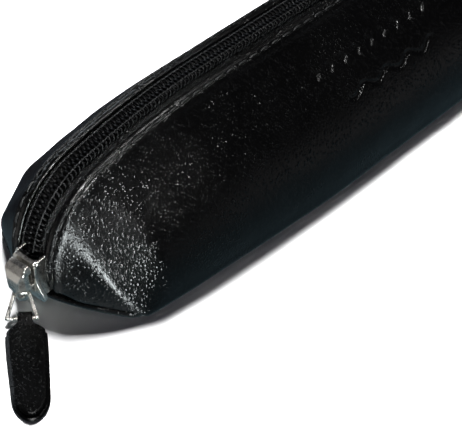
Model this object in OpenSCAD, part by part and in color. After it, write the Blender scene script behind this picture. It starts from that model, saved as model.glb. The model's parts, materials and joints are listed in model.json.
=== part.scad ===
// Slim zipped pen case of pebbled leather.
//
// The case stands on its flat base with its length along X. One zip climbs the near end (-X) from the base,
// runs along the top and goes down the far end. The front wall is on the -Y side and the back wall mirrors it.
// The origin is the middle of the base's underside.
//
// The zip follows one path in the XZ plane: an arc of end_r at each end, a long shallow crown arc, and a
// straight run along the top. Each wall is a patch of rulings from the base outline up to the zip's edge.

/* [Case] */
// Length over both ends
case_l = 190; // [170:1:210]
// Height of the leather edges along the top
case_h = 35.8; // [34:0.2:38]
// Width of the base between its corners
base_w = 48.4; // [44:0.4:54]
// How far each long side bows out beyond the corners
belly = 4; // [1:0.5:6]
// How far the base's corners sit behind the end of the case
corner_set = 11.4; // [9:0.2:13]
// Thickness of the wall leather
leather_t = 1.2; // [1:0.1:1.4]
// Thickness of the lining
lining_t = 0.45; // [0.3:0.05:0.6]

/* [Zip] */
// Radius of the zip's path round each end
end_r = 21; // [20:0.5:23]
// Height of the centre of that arc
end_z = 10.5; // [10:0.5:11]
// Angle at which the end arc hands over to the crown arc
end_turn = 76; // [74:1:78]
// Half of the gap between the two leather edges
zip_half = 4.2; // [4:0.1:4.6]
// Width of the flat leather margin beside the zip
margin_w = 2.4; // [2:0.1:3]
// Width of one coil
coil_w = 2.1; // [1.9:0.1:2.2]
// Half of the gap between the two coils
coil_gap = 0.6; // [0.6:0.05:0.7]
// Pitch of the stitches beside the zip
stitch_pitch = 4; // [3:0.5:6]

/* [Slider and pull] */
// Length of the slider body
slider_l = 12.4; // [11:0.2:13]
// Width of the slider body at its shoulders
slider_w = 10.4; // [9.6:0.2:10.6]
// Angle of the slider on the end arc when the case is closed
slider_rest = -7.5; // [-8:0.5:-6]
// Length of the leather tab beyond the link
tab_l = 31; // [26:1:36]
// Width of the leather tab
tab_w = 9.6; // [8:0.2:11]
// Direction of the link and the tab in plan, turned from -X towards the front
pull_yaw = 45; // [38:1:46]
// Sideways lean of the tab beyond its neck
tab_lean = 5; // [0:1:12]

/* [Hidden] */

$fn = 48;

// Colours
leather_c = [0.07, 0.07, 0.08];
lining_c = [0.22, 0.22, 0.24];
tape_c = [0.09, 0.09, 0.10];
coil_c = [0.13, 0.13, 0.14];
thread_c = [0.10, 0.10, 0.11];
board_c = [0.45, 0.40, 0.33];
nickel_c = [0.72, 0.70, 0.67];
steel_c = [0.60, 0.60, 0.62];

// Base stack, from the underside up
base_leather_t = 1.0;
board_t = 0.6;
base_lining_t = 0.4;
layer_gap = 0.03;
rim_z = 2.06;
wall_z = 2.3;
rim_t = 1.2;

// Layers across the zip's edge, as depths below the leather's outer face
margin_drop = 0.3;
tape_depth = leather_t + margin_drop + 0.05;
tape_t = 0.5;
tape_in = 0.7;
tape_out = zip_half + margin_w - 0.6;
lining_depth = tape_depth + tape_t + 0.25;
lining_rise = leather_t + 0.1;
coil_up = 1.1;

// Zip path: centres of the end arc and of the crown arc
arc_x = -case_l / 2 + end_r;
crown_r = (case_h - end_z - end_r * sin(end_turn)) / (1 - sin(end_turn));
crown_x = arc_x + (crown_r - end_r) * cos(end_turn);
crown_z = case_h - crown_r;

// Angles on the end arc: start of the leather edge, the end facet's top and the corner fold's top, and the
// stretch over which the straight corner turns into the rounded side
edge_a = -9.5;
facet_a = 20;
fold_a = 54;
ridge_a = 42;
side_a = 72;

// Angles on the end arc where the zip's ends hand over to the walls' tapes
slider_half_a = 17.2;
zip_split_a = slider_rest + slider_half_a + 2.5;
split_gap_a = 0.4;
tape_foot_a = -22.6;

// Base outline
corner_x = case_l / 2 - corner_set;
corner_y = base_w / 2;
corner_r = 3.2;
base_end = -arc_x + sqrt(end_r * end_r - pow(end_z - wall_z, 2));
end_bow = base_end - corner_x;
foot_y = 12.4;

function lerp(a, b, t) = a + (b - a) * t;
function clamp01(t) = min(1, max(0, t));
function ease(t) = let (c = clamp01(t)) c * c * (3 - 2 * c);
function unit(v) = v / norm(v);
function bez2(a, b, c, t) = lerp(lerp(a, b, t), lerp(b, c, t), t);
function bez3(a, b, c, d, t) =
    let (ab = lerp(a, b, t), bc = lerp(b, c, t), cd = lerp(c, d, t))
    lerp(lerp(ab, bc, t), lerp(bc, cd, t), t);
function mirror_x(p) = [-p[0], p[1], p[2]];

// ---- Zip path ------------------------------------------------------------------------------------------
// A station is [angle, x, z, nx, nz]: the angle of its outward normal above -X, its place and that normal.
function arc_station(a) = [a, arc_x - end_r * cos(a), end_z + end_r * sin(a), -cos(a), sin(a)];
function crown_station(a) = [a, crown_x - crown_r * cos(a), crown_z + crown_r * sin(a), -cos(a), sin(a)];
function top_station(x) = [90, x, case_h, 0, 1];

function arc_stations(a0, steps) =
    [for (i = [0 : steps]) arc_station(lerp(a0, end_turn, i / steps))];
crown_steps = 4;
top_steps = 3;
arc_steps = 20;
crown_stations = [for (i = [1 : crown_steps]) crown_station(lerp(end_turn, 90, i / crown_steps))];
top_stations = [for (i = [1 : top_steps]) top_station(lerp(crown_x, 0, i / top_steps))];
function half_path(a0) = concat(arc_stations(a0, arc_steps), crown_stations, top_stations);
function on_path(s, y, off) = [s[1] + s[3] * off, y, s[2] + s[4] * off];

// ---- Base outline (front half, near end) ----------------------------------------------------------------
function side_y(x) = -(corner_y + belly * (1 - pow(x / corner_x, 2)));
function end_pt(y) = [-base_end + end_bow * pow(-y / corner_y, 1.5), y];
corner_in = end_pt(-(corner_y - corner_r));
corner_out = [-corner_x + corner_r, side_y(-corner_x + corner_r)];
corner_pt = [-corner_x, -corner_y];
fold_x = arc_station(fold_a)[1];

function outline_pt(s) =
    s[0] <= facet_a ? end_pt(lerp(-foot_y, corner_in[1], (s[0] - edge_a) / (facet_a - edge_a))) :
    s[0] <= fold_a ? bez2(corner_in, corner_pt, corner_out, (s[0] - facet_a) / (fold_a - facet_a)) :
    let (x = s[1] * corner_out[0] / fold_x) [x, side_y(x)];

// ---- Wall surface ---------------------------------------------------------------------------------------
// Each ruling is a cubic from the base outline to the zip's edge. It runs nearly straight over the end facet
// and up the corner. Along the sides it stands up from the base and runs level from the zip.
facet_n = unit([-1, -0.36, 0]);
// A crease stands up between the end facet and the side. It falls away slowly on the side's side.
crease_n = unit([-0.62, -0.68, 0.39]);
crease_a = 37;
crease_foot = 16;
crease_fall = 39;
crease_rise = 1.9;
function crease_lift(a) =
    a < crease_a ? exp(-pow((a - crease_a) / crease_foot, 2)) :
    a > crease_a + crease_fall ? 0 : pow(cos(90 * (a - crease_a) / crease_fall), 2);
function crease(s) = crease_n * (crease_rise * crease_lift(s[0]));
function side_share(s) = ease((s[0] - ridge_a) / (side_a - ridge_a));
function base_handle(s, b, z) =
    let (w = side_share(s), h = z[2] - b[2],
         facet = (z - b) * 0.36 + facet_n * 0.8,
         side = [0, -1.2, h * 0.5])
    lerp(facet, side, w) + crease(s);
function zip_handle(s, b, z) =
    let (w = side_share(s),
         facet = (b - z) * 0.33 - facet_n * 0.5,
         slope = lerp(58, 50, ease((s[0] - fold_a) / (end_turn - fold_a))),
         reach = norm(z - b) * 0.36,
         side = [-s[3] * sin(slope), -cos(slope), -s[4] * sin(slope)] * reach)
    lerp(facet, side, w) + crease(s);
// The flat margin beside the zip turns down towards the base at the foot of each leather edge
margin_t = 0.93;
margin_dip = 4.6;
function margin_station(s) =
    s[0] > end_turn ? s : arc_station(s[0] - margin_dip * (1 - ease((s[0] - edge_a) / 9)));
function margin_pt(s) = on_path(margin_station(s), -zip_half - margin_w, -margin_drop);
function ruling(s, t) =
    let (o = outline_pt(s), b = [o[0], o[1], wall_z], f = margin_pt(s))
    t > margin_t ? lerp(f, on_path(s, -zip_half, 0), (t - margin_t) / (1 - margin_t))
    : bez3(b, b + base_handle(s, b, f), f + zip_handle(s, b, f), f, t / margin_t);

near_half = half_path(edge_a);
half_n = len(near_half) - 1;
rows = [0, 0.07, 0.15, 0.25, 0.36, 0.48, 0.6, 0.7, 0.79, 0.87, margin_t, 1];
function wall_grid_half(st, ts) = [for (s = st) [for (t = ts) ruling(s, t)]];
function whole(half) =
    let (n = len(half) - 1)
    [for (i = [0 : 2 * n]) i <= n ? half[i] : [for (p = half[2 * n - i]) mirror_x(p)]];

// Outward normals of a grid, from the differences between neighbours
function grid_normals(g) =
    let (n = len(g) - 1, m = len(g[0]) - 1)
    [for (i = [0 : n]) [for (j = [0 : m])
        let (du = g[min(n, i + 1)][j] - g[max(0, i - 1)][j], dv = g[i][min(m, j + 1)] - g[i][max(0, j - 1)])
        unit(cross(du, dv))]];
// A grid moved inwards by one depth for each column, kept clear of the base
sunk_z = rim_z + 0.06;
function above_base(p) = [p[0], p[1], max(sunk_z, p[2])];
function sunk_rows(g, gn, depths) =
    [for (i = [0 : len(g) - 1]) [for (j = [0 : len(g[0]) - 1]) above_base(g[i][j] - gn[i][j] * depths[j])]];

// A closed sheet between an outer and an inner grid of the same size
module sheet(outer, inner) {
    n = len(outer);
    m = len(outer[0]);
    k = n * m;
    top = [for (i = [0 : n - 2], j = [0 : m - 2]) each [
        [i * m + j, (i + 1) * m + j + 1, (i + 1) * m + j],
        [i * m + j, i * m + j + 1, (i + 1) * m + j + 1]]];
    under = [for (f = top) [f[2] + k, f[1] + k, f[0] + k]];
    rim = concat([for (i = [0 : n - 2]) i * m], [for (j = [0 : m - 2]) (n - 1) * m + j],
                 [for (i = [n - 1 : -1 : 1]) i * m + m - 1], [for (j = [m - 1 : -1 : 1]) j]);
    sides = [for (q = [0 : len(rim) - 1]) let (a = rim[q], b = rim[(q + 1) % len(rim)]) each [
        [a, b, b + k], [a, b + k, a + k]]];
    polyhedron(points = concat([for (r = outer) each r], [for (r = inner) each r]),
               faces = concat(top, under, sides));
}

wall_g = whole(wall_grid_half(near_half, rows));
wall_n = grid_normals(wall_g);

module leather_wall() { sheet(wall_g, sunk_rows(wall_g, wall_n, [for (t = rows) leather_t])); }

// The lining starts under the tape's edge and rises to the leather lower down. It stops short of the T-seams.
lining_a = edge_a + 7;
lining_rows = [for (t = rows) max(0.03, min(t, 0.965))];
lining_step = [for (t = rows) lerp(lining_rise, lining_depth, ease((t - 0.68) / 0.2))];
lining_g = whole(wall_grid_half(half_path(lining_a), lining_rows));
lining_n = grid_normals(lining_g);
module lining_wall() {
    sheet(sunk_rows(lining_g, lining_n, lining_step),
          sunk_rows(lining_g, lining_n, [for (d = lining_step) d + lining_t]));
}

// ---- Zip tape and coil ----------------------------------------------------------------------------------
tape_stations = half_path(zip_split_a + split_gap_a);

// A band of constant section along a list of stations, between two offsets and two widths
module band(stations, y0, y1, off0, off1) {
    outer = [for (s = stations) [s[1] + s[3] * off1, s[2] + s[4] * off1]];
    inner = [for (i = [len(stations) - 1 : -1 : 0])
        let (s = stations[i]) [s[1] + s[3] * off0, s[2] + s[4] * off0]];
    translate([0, y1, 0]) rotate([90, 0, 0]) linear_extrude(height = y1 - y0) polygon(concat(outer, inner));
}
function mirrored_stations(st) =
    concat(st, [for (i = [len(st) - 2 : -1 : 0]) [180 - st[i][0], -st[i][1], st[i][2], -st[i][3], st[i][4]]]);

module wall_tape() {
    band(mirrored_stations(tape_stations), -tape_out, -tape_in, -tape_depth - tape_t, -tape_depth);
}
module wall_coil() {
    band(mirrored_stations(tape_stations), -coil_gap - coil_w, -coil_gap, -tape_depth + 0.02, coil_up);
}

// The foot of the tape, from the T-seam up to just above the closed slider, spreading into the corner that
// the rounded leather edge leaves open
foot_clear = 0.4;
function foot_edge_y(a) =
    a >= edge_a ? zip_half - foot_clear
    : lerp(zip_half, foot_y - 2, pow((edge_a - a) / (edge_a - tape_foot_a), 1.8)) - foot_clear - 0.5;
function foot_row(a, depth) =
    let (s = arc_station(a), y1 = foot_edge_y(a))
    [for (f = [1, 0.66, 0.33, 0])
        let (y = lerp(tape_in, y1, f), back = end_bow * pow(max(0, y - zip_half) / corner_y, 1.3))
        on_path(s, -y, -depth - back)];
module tape_foot() {
    steps = 12;
    as = [for (i = [0 : steps]) lerp(tape_foot_a, zip_split_a, i / steps)];
    sheet([for (a = as) foot_row(a, tape_depth)], [for (a = as) foot_row(a, tape_depth + tape_t)]);
}
module coil_foot() {
    steps = 12;
    st = [for (i = [0 : steps]) arc_station(lerp(tape_foot_a + 1, zip_split_a, i / steps))];
    band(st, -coil_gap - coil_w, -coil_gap, -tape_depth + 0.02, coil_up);
}

// ---- Stitching ------------------------------------------------------------------------------------------
stitch_l = 3;
stitch_h = 0.35;
stitch_d = 0.6;
arc_len = end_r * (end_turn - edge_a) * PI / 180;
crown_len = crown_r * (90 - end_turn) * PI / 180;
half_len = arc_len + crown_len - crown_x;
function station_at(l) =
    l <= arc_len ? arc_station(edge_a + l / end_r * 180 / PI) :
    l <= arc_len + crown_len ? crown_station(end_turn + (l - arc_len) / crown_r * 180 / PI) :
    top_station(crown_x + l - arc_len - crown_len);
module stitch(s) {
    t = margin_t + (1 - margin_t) * 0.12;
    p = ruling(s, t);
    up = unit(ruling(s, t + 0.005) - ruling(s, t - 0.005));
    side = unit(ruling(station_at_angle(s, 0.6), t) - ruling(station_at_angle(s, -0.6), t));
    n = unit(cross(side, up));
    yaw = atan2(side[1], side[0]);
    pitch = -atan2(side[2], norm([side[0], side[1]]));
    y0 = [-sin(yaw), cos(yaw), 0];
    roll = atan2(-(n * y0), n * cross(side, y0));
    translate(p + n * (stitch_h / 2 + 0.04)) rotate([0, pitch, yaw]) rotate([roll, 0, 0])
        cube([stitch_l, stitch_d, stitch_h], center = true);
}
function station_at_angle(s, step) =
    s[0] >= 90 ? top_station(s[1] + step) :
    s[0] > end_turn ? crown_station(min(90, s[0] + step / crown_r * 180 / PI)) :
    arc_station(s[0] + step / end_r * 180 / PI);
stitch_n = floor((half_len - 3) / stitch_pitch);
module stitch_row() {
    for (i = [0 : stitch_n - 1]) {
        s = station_at(half_len - (i + 0.5) * stitch_pitch);
        stitch(s);
        mirror([1, 0, 0]) stitch(s);
    }
}

// ---- Base -----------------------------------------------------------------------------------------------
// Closed outline of the base, set in by a distance. Quarter of it is built and mirrored.
end_n = 7;
round_n = 5;
side_n = 10;
quarter = concat(
    [for (i = [0 : end_n]) end_pt(lerp(0, corner_in[1], i / end_n))],
    [for (i = [1 : round_n]) bez2(corner_in, corner_pt, corner_out, i / round_n)],
    [for (i = [1 : side_n]) let (x = lerp(corner_out[0], 0, i / side_n)) [x, side_y(x)]]);
quarter_n = len(quarter) - 1;
base_ring = concat(
    quarter,
    [for (i = [quarter_n - 1 : -1 : 0]) [-quarter[i][0], quarter[i][1]]],
    [for (i = [1 : quarter_n]) [-quarter[i][0], -quarter[i][1]]],
    [for (i = [quarter_n - 1 : -1 : 1]) [quarter[i][0], -quarter[i][1]]]);
function ring_inset(ring, d) =
    let (n = len(ring))
    [for (i = [0 : n - 1])
        let (e = ring[(i + 1) % n] - ring[(i + n - 1) % n], k = unit([-e[1], e[0]]))
        ring[i] + k * d];

// Solid lofted through rings [inset, z] of the base outline, from its underside to its top face
module loft(levels) {
    n = len(base_ring);
    m = len(levels);
    pts = [for (l = levels) each [for (p = ring_inset(base_ring, l[0])) [p[0], p[1], l[1]]]];
    walls = [for (k = [0 : m - 2], i = [0 : n - 1]) let (j = (i + 1) % n) each [
        [k * n + i, (k + 1) * n + j, k * n + j], [k * n + i, (k + 1) * n + i, (k + 1) * n + j]]];
    polyhedron(points = pts, faces = concat(walls, [[for (i = [0 : n - 1]) i]],
                                            [[for (i = [n - 1 : -1 : 0]) (m - 1) * n + i]]));
}
module slab(inset, z0, z1) {
    translate([0, 0, z0]) linear_extrude(height = z1 - z0) polygon(ring_inset(base_ring, inset));
}

module leather_base() {
    color(leather_c)
        loft([[1.4, 0], [0.5, 0.3], [0, 1], [0.05, rim_z], [rim_t, rim_z], [rim_t, base_leather_t]]);
}
board_z = base_leather_t + layer_gap;
module base_board() { color(board_c) slab(rim_t + 0.15, board_z, board_z + board_t); }
base_lining_z = board_z + board_t + layer_gap;
module lining_base() { color(lining_c) slab(rim_t + 0.05, base_lining_z, base_lining_z + base_lining_t); }

// ---- Slider ---------------------------------------------------------------------------------------------
// Built at angle 0 of the end arc, with -X outward and +Z towards its narrow end, then turned to its rest
plate_in = coil_up + 0.15;
plate_out = plate_in + 1;
under_in = -(tape_depth + tape_t) - 0.3;
under_out = under_in - 0.95;
flange_in = coil_gap + coil_w + 0.2;
narrow_w = flange_in + 0.75;
post_w = 1;
flange_foot = -(tape_depth) + 0.15;

module on_arc(a) { translate([arc_x, 0, end_z]) rotate([0, a, 0]) children(); }
// Part of a ring round the end arc's axis, between two offsets from the zip's path
module arc_ring(off0, off1, y) {
    rotate([90, 0, 0]) difference() {
        cylinder(r = end_r + off1, h = y * 2, center = true, $fn = 180);
        cylinder(r = end_r + off0, h = y * 2 + 1, center = true, $fn = 180);
    }
}
// Plan of the slider, pulled back by a margin, as a prism that runs out along -X from the arc's axis
module slider_plan(margin, w) {
    h = slider_l / 2 - margin;
    n = narrow_w - margin;
    translate([-end_r - 8, 0, 0]) rotate([90, 0, 90]) linear_extrude(height = 16)
        polygon([[-n + 0.6, h], [-n, h - 0.8], [-n, 1.2], [-w, -h + 3.4], [-w, -h + 2.2], [-w + 1.4, -h],
                 [w - 1.4, -h], [w, -h + 2.2], [w, -h + 3.4], [n, 1.2], [n, h - 0.8], [n - 0.6, h]]);
}
module slider_body() {
    color(nickel_c) on_arc(slider_rest) {
        intersection() {
            arc_ring(plate_in, plate_out, 8);
            slider_plan(0, slider_w / 2);
        }
        intersection() {
            arc_ring(under_out, under_in, 8);
            slider_plan(0.3, slider_w / 2 - 0.4);
        }
        // flanges that guide the coils
        for (m = [0, 1]) mirror([0, m, 0]) intersection() {
            arc_ring(flange_foot, plate_in + 0.2, 8);
            translate([-end_r - 4, flange_in, -slider_l / 2 + 1.6])
                cube([8, narrow_w - flange_in, slider_l - 1.6]);
        }
        // post that joins the plates between the coils
        intersection() {
            arc_ring(under_in - 0.2, plate_in + 0.2, 8);
            translate([-end_r - 4, -post_w / 2, -slider_l / 2 + 0.8]) cube([8, post_w, 3.4]);
        }
    }
}

spring_t = 0.3;
spring_w = 0.9;
spring_l = 2.8;
spring_u = 0.9;
pocket_h = 1;
crown_foot = plate_out + 0.03;
crown_top = 6.1;
crown_half = 3.1;
crown_tail = 0.35;
crown_waist = -1.5;
window_r = 1.2;
window_u = -3;
// Height up to which the crown is hollow, so that the link can swing up under its roof
swing_u = -0.4;
// Offset of the window's centre from the zip's path
window_w = 4.15;
// Side view of the crown: a bridge from the narrow end to the wide end, with a window for the link's bar and
// a pocket for the lock spring
module crown_side() {
    h = slider_l / 2;
    top = end_r + crown_top;
    foot = end_r + crown_foot;
    difference() {
        polygon([[foot, -h + 0.3], [foot, h - 0.2], [foot + 1.3, h - 0.1], [top - 0.9, h - 1.8],
                 [top - 0.2, h - 3.6], [top, 0.4], [top - 0.1, -2.6], [top - 0.7, -4.6],
                 [foot + 1.4, -h + 0.3]]);
        translate([end_r + window_w, window_u]) circle(r = window_r);
        translate([foot - 0.5, window_u - window_r]) square([window_w - crown_foot + 0.5, swing_u - window_u]);
        translate([foot - 0.5, spring_u - 0.3]) square([0.5 + pocket_h, spring_l + 0.6]);
    }
}
module slider_crown() {
    color(nickel_c) on_arc(slider_rest) intersection() {
        rotate([90, 0, 180]) translate([0, 0, -crown_half]) linear_extrude(height = 2 * crown_half)
            crown_side();
        // plan: narrow where the link passes
        translate([-end_r - 8, 0, 0]) rotate([90, 0, 90]) linear_extrude(height = 16)
            polygon([[-2.6, 6.2], [-crown_half, 4.8], [-crown_half, 0], [-crown_tail, crown_waist],
                     [-crown_tail, -6.2], [crown_tail, -6.2], [crown_tail, crown_waist], [crown_half, 0],
                     [crown_half, 4.8], [2.6, 6.2]]);
        // end view: bevelled long edges
        translate([0, 0, -8]) linear_extrude(height = 16)
            polygon([[-end_r - crown_foot + 1, -4], [-end_r - crown_foot - 1.6, -4],
                     [-end_r - crown_top, -1.7], [-end_r - crown_top, 1.7],
                     [-end_r - crown_foot - 1.6, 4], [-end_r - crown_foot + 1, 4]]);
    }
}

module slider_lock_spring() {
    color(steel_c) on_arc(slider_rest)
        translate([-end_r - crown_foot - pocket_h / 2 - spring_t / 2, -spring_w / 2, spring_u])
            cube([spring_t, spring_w, spring_l]);
}

// ---- Pull -----------------------------------------------------------------------------------------------
// The link's top bar lies askew in the crown's window, so that the pull points towards the front
bar_d = 1;
leg_t = 0.85;
leg_w = 0.9;
// How far each leg runs past the middle of a bar
leg_lap = 0.15;
link_top_w = 3.3;
link_low_w = 6.9;
link_l = 6.4;
pivot = [arc_x - (end_r + window_w) * cos(slider_rest) + window_u * sin(slider_rest), 0,
         end_z + (end_r + window_w) * sin(slider_rest) + window_u * cos(slider_rest)];
tab_t = 1;
core_t = 0.4;
bar_play = 0.1;
loop_r = bar_d / 2 + bar_play + tab_t;
tab_lift = 0.05;
link_dip = asin((pivot[2] - loop_r - tab_lift) / link_l);
bar = pivot + link_l * [-cos(pull_yaw) * cos(link_dip), -sin(pull_yaw) * cos(link_dip), -sin(link_dip)];

// The link's local +X runs from the pivot to the lower bar, and +Y along both bars
module link_bar(x, w) { translate([x, 0, 0]) rotate([90, 0, 0]) cylinder(d = bar_d, h = w, center = true); }
module link_leg(y0, y1) {
    translate([0, 0, -leg_t / 2]) linear_extrude(height = leg_t)
        polygon([[-leg_lap, y0 - leg_w / 2], [link_l + leg_lap, y1 - leg_w / 2],
                 [link_l + leg_lap, y1 + leg_w / 2], [-leg_lap, y0 + leg_w / 2]]);
}
module pull_link() {
    color(nickel_c) translate(pivot) rotate([0, 0, 180 + pull_yaw]) rotate([0, link_dip, 0]) {
        link_bar(0, link_top_w);
        link_bar(link_l, link_low_w);
        for (k = [-1, 1]) link_leg(k * link_top_w / 2, k * link_low_w / 2);
    }
}

// The tab's local +X runs from the bar to its tip, with its underside on the table
neck_w = 3.4;
shoulder_x = 1.2;
shoulder_l = 3.4;
tip_l = 7.5;
tip_taper = 0.1;
tab_shift = 0.8;
bend_x = 1.5;
bend_l = 3;
module tab_place() {
    translate([bar[0], bar[1], tab_lift]) rotate([0, 0, 180 + pull_yaw]) translate([0, tab_shift, 0])
        children();
}
// Half width at x, and the sideways bend just beyond the neck
function tab_half(x) =
    let (w = tab_w / 2 * (1 - tip_taper * ease((x - 8) / 18)), past = max(0, x - tab_l + tip_l) / tip_l)
    min(lerp(neck_w / 2, w, ease((x - shoulder_x) / shoulder_l)), w * sqrt(max(0, 1 - past * past)));
function tab_bend(p) =
    let (a = tab_lean * ease((p[0] - bend_x + 1) / bend_l), d = p[0] - bend_x)
    [bend_x + d * cos(a) - p[1] * sin(a), d * sin(a) + p[1] * cos(a)];
tab_steps = 40;
module tab_outline(margin) {
    x1 = tab_l - margin;
    side = [for (i = [0 : tab_steps])
        let (x = x1 * sin(90 * i / tab_steps)) [x, max(0.01, tab_half(x * tab_l / x1) - margin)]];
    polygon(concat([for (p = side) tab_bend([p[0], -p[1]])],
                   [for (i = [tab_steps : -1 : 0]) tab_bend(side[i])]));
}
module tab_leather() {
    color(leather_c) tab_place() difference() {
        union() {
            linear_extrude(height = tab_t) tab_outline(0);
            translate([0, 0, tab_t + core_t]) linear_extrude(height = tab_t) tab_outline(0.4);
            translate([0, 0, loop_r]) rotate([90, 0, 0]) cylinder(r = loop_r, h = neck_w, center = true);
        }
        translate([0, 0, loop_r]) rotate([90, 0, 0])
            cylinder(r = loop_r - tab_t, h = tab_w + 4, center = true);
    }
}
core_x = 5.5;
module tab_core() {
    color(board_c) tab_place() translate([0, 0, tab_t + 0.02]) linear_extrude(height = core_t - 0.04)
        difference() {
            tab_outline(1.2);
            translate([-1, -tab_w]) square([core_x + 1, 2 * tab_w]);
        }
}

// ---- Named pieces ---------------------------------------------------------------------------------------
module both_sides() { children(); mirror([0, 1, 0]) children(); }
module tape_end_near() { color(tape_c) both_sides() tape_foot(); }
module tape_end_far() { color(tape_c) mirror([1, 0, 0]) both_sides() tape_foot(); }
module coil_end_near() { color(coil_c) both_sides() coil_foot(); }
module coil_end_far() { color(coil_c) mirror([1, 0, 0]) both_sides() coil_foot(); }
module leather_front() { color(leather_c) leather_wall(); }
module leather_back() { color(leather_c) mirror([0, 1, 0]) leather_wall(); }
module lining_front() { color(lining_c) lining_wall(); }
module lining_back() { color(lining_c) mirror([0, 1, 0]) lining_wall(); }
module zip_tape_front() { color(tape_c) wall_tape(); }
module zip_tape_back() { color(tape_c) mirror([0, 1, 0]) wall_tape(); }
module zip_coil_front() { color(coil_c) wall_coil(); }
module zip_coil_back() { color(coil_c) mirror([0, 1, 0]) wall_coil(); }
module stitching_front() { color(thread_c) stitch_row(); }
module stitching_back() { color(thread_c) mirror([0, 1, 0]) stitch_row(); }

leather_base();
base_board();
lining_base();
tape_end_near();
tape_end_far();
coil_end_near();
coil_end_far();
leather_front();
lining_front();
zip_tape_front();
zip_coil_front();
stitching_front();
leather_back();
lining_back();
zip_tape_back();
zip_coil_back();
stitching_back();
slider_body();
slider_crown();
slider_lock_spring();
pull_link();
tab_leather();
tab_core();
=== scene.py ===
"""Looks of a zipped pen case: leather walls, lining, zip, slider and pull tab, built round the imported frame.

Lengths are in millimetres until a mesh is made, and angles are in degrees, unless a comment says otherwise.
"""
import json
import math
import bpy
import numpy as np
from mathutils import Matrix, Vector


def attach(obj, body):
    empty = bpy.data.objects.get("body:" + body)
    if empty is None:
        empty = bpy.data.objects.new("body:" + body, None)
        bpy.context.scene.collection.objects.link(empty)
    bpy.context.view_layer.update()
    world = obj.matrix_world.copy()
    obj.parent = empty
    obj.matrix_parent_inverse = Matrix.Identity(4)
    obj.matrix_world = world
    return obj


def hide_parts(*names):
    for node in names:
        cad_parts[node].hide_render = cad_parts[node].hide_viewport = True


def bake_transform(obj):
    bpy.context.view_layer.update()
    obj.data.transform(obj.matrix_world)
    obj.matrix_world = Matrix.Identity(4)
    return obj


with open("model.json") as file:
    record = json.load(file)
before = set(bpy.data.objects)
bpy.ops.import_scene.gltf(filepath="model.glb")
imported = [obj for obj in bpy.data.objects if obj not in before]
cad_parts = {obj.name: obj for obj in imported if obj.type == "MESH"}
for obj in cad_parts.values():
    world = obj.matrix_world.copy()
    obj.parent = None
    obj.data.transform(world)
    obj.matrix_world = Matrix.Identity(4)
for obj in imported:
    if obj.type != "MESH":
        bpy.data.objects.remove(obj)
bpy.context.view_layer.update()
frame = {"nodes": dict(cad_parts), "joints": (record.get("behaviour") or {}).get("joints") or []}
MM = 0.001
DEG = math.pi / 180

# ---- Driving sizes, as the part's source has them -----------------------------------------------------------
CASE_L = 190.0        # length over both ends of the zip's path
CASE_H = 35.8         # height of the zip's path along the top
BASE_W = 48.4         # width of the base across its corners
BELLY = 4.0           # how far the long sides bow out past the corners
CORNER_SET = 11.4     # how far the corners stand in from the path's ends
LEATHER_T = 1.2
LINING_T = 0.45
END_R = 21.0          # radius of the path's end arc
END_Z = 10.5          # height of the end arc's centre
END_TURN = 76.0       # angle where the end arc meets the long crown
ZIP_HALF = 4.2        # the zip's middle to the leather's edge
MARGIN_W = 2.4        # leather margin beside the zip, which holds the seam
MARGIN_DROP = 0.3     # how far the margin's outer side lies below the path
STITCH_PITCH = 4.0
RIM_Z = 2.06          # top of the base leather's rim
WALL_Z = 2.3          # height of the walls' foot
TAPE_T = 0.5
TAPE_GAP = 0.05       # room between the leather and the tape
TAPE_DEPTH = LEATHER_T + MARGIN_DROP + TAPE_GAP
CORNER_R = 3.2
FOOT_Y = 12.4         # half width that the leather edges leave open at the foot of an end
MARGIN_T = 0.93       # share of a ruling where the margin starts
MARGIN_DIP = 4.6      # how much lower on the arc the margin's outer side starts than the edge

# Angles on the end arc.
EDGE_A = -9.5         # foot of the leather edge
FACET_A = 20.0        # last ruling that stands on the end of the base
FOLD_A = 54.0         # first ruling that stands on the long side
RIDGE_A = 42.0        # start of the blend from the end's rulings to the side's
SIDE_A = 72.0         # end of that blend
SPLIT_A = 12.2        # top of the tape and coil ends that stay with the base
TAPE_FOOT_A = -22.6   # foot of the tape

ARC_X = -CASE_L / 2 + END_R
CROWN_R = (CASE_H - END_Z - END_R * math.sin(END_TURN * DEG)) / (1 - math.sin(END_TURN * DEG))
CROWN_X = ARC_X + (CROWN_R - END_R) * math.cos(END_TURN * DEG)
CROWN_Z = CASE_H - CROWN_R
CORNER_X = CASE_L / 2 - CORNER_SET
CORNER_Y = BASE_W / 2
BASE_END = -ARC_X + math.sqrt(END_R ** 2 - (END_Z - WALL_Z) ** 2)
END_BOW = BASE_END - CORNER_X
ARC_LEN = END_R * (END_TURN - EDGE_A) * DEG
CROWN_LEN = CROWN_R * (90 - END_TURN) * DEG
HALF_LEN = ARC_LEN + CROWN_LEN - CROWN_X
FULL_LEN = 2 * HALF_LEN


def lerp(a, b, t):
    return a + (b - a) * t


def ease(t):
    c = np.clip(t, 0, 1)
    return c * c * (3 - 2 * c)


def unit(v):
    return v / np.maximum(np.linalg.norm(v, axis=-1, keepdims=True), 1e-12)


def bell(x, centre, width):
    return np.exp(-((x - centre) / width) ** 2)


# ---- Zip path and wall surface ------------------------------------------------------------------------------
def arc_station(a):
    """[angle, x, z, nx, nz] at angles on the end arc."""
    a = np.asarray(a, float)
    c, s = np.cos(a * DEG), np.sin(a * DEG)
    return np.stack([a, ARC_X - END_R * c, END_Z + END_R * s, -c, s], -1)


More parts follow.
